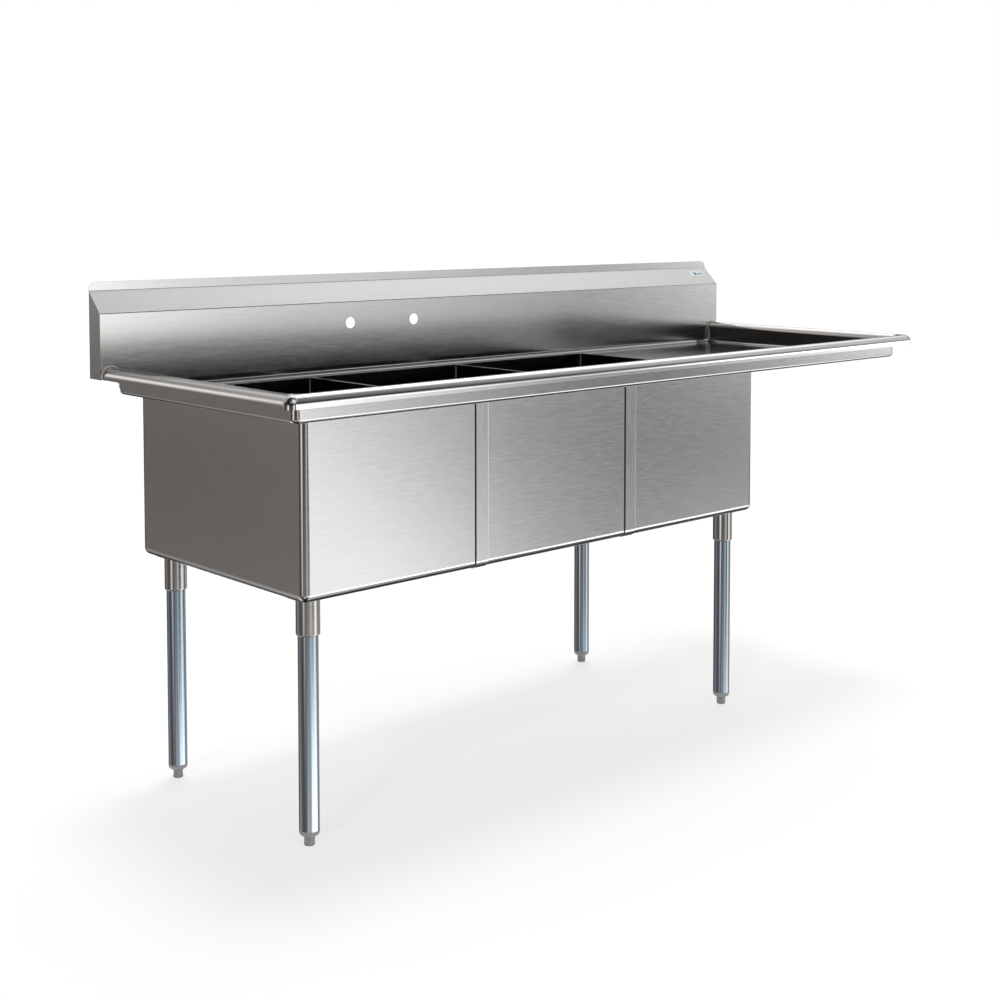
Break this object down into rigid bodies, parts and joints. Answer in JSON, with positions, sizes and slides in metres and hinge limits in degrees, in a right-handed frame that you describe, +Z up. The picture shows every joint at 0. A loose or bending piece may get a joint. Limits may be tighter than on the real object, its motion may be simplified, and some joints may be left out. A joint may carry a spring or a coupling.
{
  "type": "three compartment commercial sink",
  "caption": "Freestanding stainless steel sink: equal deep bowls in a rolled-rim pan, drainboard on the right, backsplash with faucet holes, tubular legs with adjustable feet.",
  "frame": {"origin": "on the floor, under the centre of the overall box", "axes": "+X along the sink to the drainboard end, +Y towards the wall behind it, +Z up"},
  "size_m": [2.1028, 0.7524, 1.1076],
  "materials": {
    "deck_stainless": "fine satin grain along the length",
    "rim_stainless": "satin, ground at the corners",
    "splash_stainless": "fine satin grain along the length",
    "bowl_stainless": "fine satin grain, coved corners",
    "strap_stainless": "satin",
    "socket_stainless": "satin, welded",
    "channel_stainless": "plain mill finish",
    "drain_metal": "polished",
    "basket_stainless": "pressed, polished",
    "rubber_black": "matt",
    "leg_galvanised": "smooth zinc coating",
    "foot_insert_plastic": "moulded",
    "foot_plastic": "moulded",
    "screw_steel": "plain",
    "label_film": "blank printed film"
  },
  "bodies": {
    "sink": {"deck_pan": "deck_stainless", "rim_front": "rim_stainless", "rim_left": "rim_stainless", "rim_right": "rim_stainless", "rim_corner_left": "rim_stainless", "rim_corner_right": "rim_stainless", "splash_panel": "splash_stainless", "splash_cap_left": "splash_stainless", "splash_cap_right": "splash_stainless", "label": "label_film", "bowl_left": "bowl_stainless", "drain_body_left": "drain_metal", "drain_gasket_left": "rubber_black", "drain_locknut_left": "drain_metal", "bowl_centre": "bowl_stainless", "drain_body_centre": "drain_metal", "drain_gasket_centre": "rubber_black", "drain_locknut_centre": "drain_metal", "bowl_right": "bowl_stainless", "drain_body_right": "drain_metal", "drain_gasket_right": "rubber_black", "drain_locknut_right": "drain_metal", "joint_strap_1": "strap_stainless", "joint_strap_2": "strap_stainless", "leg_socket_front_left": "socket_stainless", "leg_front_left": "leg_galvanised", "foot_insert_front_left": "foot_insert_plastic", "leg_socket_front_right": "socket_stainless", "leg_front_right": "leg_galvanised", "foot_insert_front_right": "foot_insert_plastic", "leg_socket_rear_left": "socket_stainless", "leg_rear_left": "leg_galvanised", "foot_insert_rear_left": "foot_insert_plastic", "leg_socket_rear_right": "socket_stainless", "leg_rear_right": "leg_galvanised", "foot_insert_rear_right": "foot_insert_plastic", "socket_set_screws": "screw_steel", "drainboard_channel_front": "channel_stainless", "drainboard_channel_rear": "channel_stainless"},
    "strainer_left": {"basket_left": "basket_stainless", "basket_stopper_left": "rubber_black"},
    "strainer_centre": {"basket_centre": "basket_stainless", "basket_stopper_centre": "rubber_black"},
    "strainer_right": {"basket_right": "basket_stainless", "basket_stopper_right": "rubber_black"},
    "adjuster_front_left": {"foot_front_left": "foot_plastic"},
    "adjuster_front_right": {"foot_front_right": "foot_plastic"},
    "adjuster_rear_left": {"foot_rear_left": "foot_plastic"},
    "adjuster_rear_right": {"foot_rear_right": "foot_plastic"}
  },
  "joints": [
    {"name": "strainer_lift_left", "type": "slide", "parent": "sink", "child": "strainer_left", "axis": [0, 0, 1], "range_m": [0, 0.5]},
    {"name": "strainer_lift_centre", "type": "slide", "parent": "sink", "child": "strainer_centre", "axis": [0, 0, 1], "range_m": [0, 0.5]},
    {"name": "strainer_lift_right", "type": "slide", "parent": "sink", "child": "strainer_right", "axis": [0, 0, 1], "range_m": [0, 0.5]},
    {"name": "foot_height_front_left", "type": "slide", "parent": "sink", "child": "adjuster_front_left", "axis": [0, 0, -1], "range_m": [0, 0.025]},
    {"name": "foot_height_front_right", "type": "slide", "parent": "sink", "child": "adjuster_front_right", "axis": [0, 0, -1], "range_m": [0, 0.025]},
    {"name": "foot_height_rear_left", "type": "slide", "parent": "sink", "child": "adjuster_rear_left", "axis": [0, 0, -1], "range_m": [0, 0.025]},
    {"name": "foot_height_rear_right", "type": "slide", "parent": "sink", "child": "adjuster_rear_right", "axis": [0, 0, -1], "range_m": [0, 0.025]}
  ]
}
